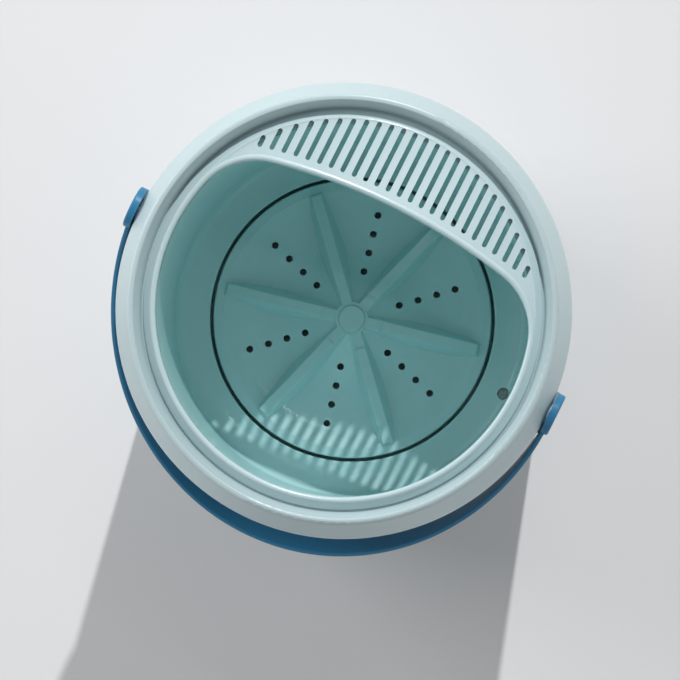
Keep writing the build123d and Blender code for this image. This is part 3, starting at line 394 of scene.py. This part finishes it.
def dress_body():
    """Pale mint casing, rim and strainer: polished moulding with a faint moulded waviness. The
    strainer's lighter, more mint colour is painted bounced light.
    """
    for name, colour, rough, pieces in (
            ("body_plastic", body_colour, body_rough, ("top_rim", "outer_casing")),
            # Same plastic as the rim, given a lighter, more mint colour as painted bounced light.
            ("strainer_plastic", ring_colour_painted_bounce, ring_rough, ("strainer_ring",))):
        moulding = Surface(name)
        cloud = moulding.noise(14.0)
        moulding.tint(cloud, colour, 0.02)
        moulding.rough(cloud, *rough)
        moulding.relief((moulding.noise(160.0, 1.0), 0.000003))
        moulding.dress(*pieces)


def dress_tub(rib_ends):
    """Deeper mint tub and hub cap, and the pulsator with the rings of its turned mould."""
    tub = Surface("tub_plastic", coat=moulding_coat)
    tub.tint(tub.noise(12.0), tub_colour, 0.025)
    tub.rough(tub.noise(200.0, 1.0), *tub_rough)
    tub.relief((tub.noise(45.0, 2.0), 0.00003))
    tub.dress("wash_tub", "hub_cap")

    disc = Surface("pulsator_plastic", coat=moulding_coat)
    turned = disc.rings(420.0, 0.6)
    disc.tint(disc.noise(16.0), tub_colour, 0.03)
    disc.rough(turned, *tub_rough)
    disc.relief((disc.noise(40.0, 2.0), 0.00003), (turned, 0.000002))
    disc.dress("pulsator")
    rib_ends.data.materials.append(disc.material)


def dress_blue():
    """Dark blue bail, caps and panel: satin moulding with a fine even grain."""
    blue = Surface("handle_plastic")
    grain = blue.noise(700.0, 1.0)
    blue.tint(blue.noise(30.0), blue_colour, 0.04)
    blue.rough(grain, *blue_rough)
    blue.relief((grain, 0.000006))
    blue.shader.inputs["Specular IOR Level"].default_value = blue_specular
    blue.dress("handle", "handle_cap_left", "handle_cap_right", "control_panel")


def dress_small_mouldings():
    """Buttons, cover, socket, pulleys and the clear pieces."""
    button = Surface("button_plastic", coat=moulding_coat)
    cloud = button.noise(80.0)
    button.tint(cloud, button_colour, 0.02)
    button.rough(cloud, *button_rough)
    button.relief((button.noise(500.0, 2.0), 0.000004))
    button.dress("power_button", "mode_button")

    cover = Surface("base_plastic")
    grain = cover.noise(900.0)
    cover.tint(cover.noise(25.0), cover_colour, 0.05)
    cover.rough(grain, *cover_rough)
    cover.relief((grain, 0.00001))
    cover.dress("base_cover")

    black = Surface("black_plastic")
    cloud = black.noise(120.0)
    black.tint(cloud, black_colour, 0.20)
    black.rough(cloud, *black_rough)
    black.relief((black.noise(1500.0), 0.00002))
    black.dress("motor_pulley", "drive_pulley", "power_inlet", "inlet_nut")

    clear = Surface("clear_plastic")
    cloud = clear.noise(700.0, 2.0)
    clear.tint(cloud, clear_colour, 0.10)
    clear.rough(cloud, *clear_rough)
    clear.relief((clear.cells(900.0), 0.00005))
    clear.shader.inputs["Transmission Weight"].default_value = clear_transmission
    clear.dress("tub_lens", "indicator_lights")


def dress_rubber():
    """Feet, gasket, seal and belt."""
    rubber = Surface("rubber")
    cloud = rubber.noise(90.0)
    rubber.tint(cloud, rubber_colour, 0.20)
    rubber.rough(cloud, *rubber_rough)
    rubber.relief((rubber.noise(1200.0), 0.00004))
    rubber.dress("rubber_feet", "tub_gasket", "shaft_seal")

    belt = Surface("belt_rubber")
    weave = belt.bands(700.0, "Z")
    belt.tint(belt.noise(150.0), belt_colour, 0.30)
    belt.rough(weave, *belt_rough)
    belt.relief((weave, 0.00008))
    belt.dress("drive_belt")


def dress_metal():
    """Screws, shafts, bearings, plate, housing and motor."""
    zinc = Surface("screw_steel", metal=1.0)
    cloud = zinc.noise(400.0)
    zinc.colour(cloud, *zinc_colours)
    zinc.rough(cloud, *zinc_rough)
    zinc.relief((zinc.noise(3000.0, 2.0), 0.00001))
    zinc.dress("base_screws", "rim_screws", "pulsator_screw", "housing_screws", "plate_screws",
               "motor_screws", "board_screws", "pulley_nut")

    shaft = Surface("shaft_steel", metal=1.0)
    turned = shaft.bands(900.0, "Z", 0.4)
    shaft.colour(shaft.noise(200.0), *shaft_colours)
    shaft.rough(turned, *shaft_rough)
    shaft.relief((turned, 0.000004))
    shaft.dress("drive_shaft", "motor_shaft", "upper_bearing", "lower_bearing",
                "pivot_pin_left", "pivot_pin_right")

    plate = Surface("plate_steel", metal=1.0)
    spangle = plate.cells(90.0)
    plate.colour(spangle, *plate_colours)
    plate.rough(spangle, *plate_rough)
    plate.relief((spangle, 0.00001))
    plate.dress("motor_plate")

    cast = Surface("cast_aluminium", metal=1.0)
    skin = cast.noise(1100.0, 4.0)
    cast.colour(cast.noise(70.0), *cast_colours)
    cast.rough(skin, *cast_rough)
    cast.relief((skin, 0.00008))
    cast.dress("bearing_housing")

    paint = Surface("motor_paint")
    peel = paint.noise(650.0, 2.0)
    paint.tint(paint.noise(60.0), paint_colour, 0.25)
    paint.rough(peel, *paint_rough)
    paint.relief((peel, 0.00003))
    paint.dress("motor")


def dress_boards():
    """Green laminate with lighter tracks under its lacquer."""
    board = Surface("circuit_board", coat=board_coat)
    tracks = board.bands(240.0, "X", 9.0)
    board.colour(tracks, *board_colours)
    board.rough(tracks, *board_rough)
    board.relief((tracks, 0.00002))
    board.dress("lamp_board", "control_board")


make_camera()
make_lamp("key", key_towards.normalized() * key_distance, (key_size, key_size), key_power, "DISK")
make_lamp("strip", strip_place, strip_size, strip_power)
make_lamp("side", side_place, wall_lamp_size, side_power)
make_lamp("east", east_place, wall_lamp_size, east_power)
make_world()
make_floor()
dress_body()
dress_tub(make_rib_ends())
dress_blue()
dress_small_mouldings()
dress_rubber()
dress_metal()
dress_boards()

scene.view_settings.view_transform = "Standard"
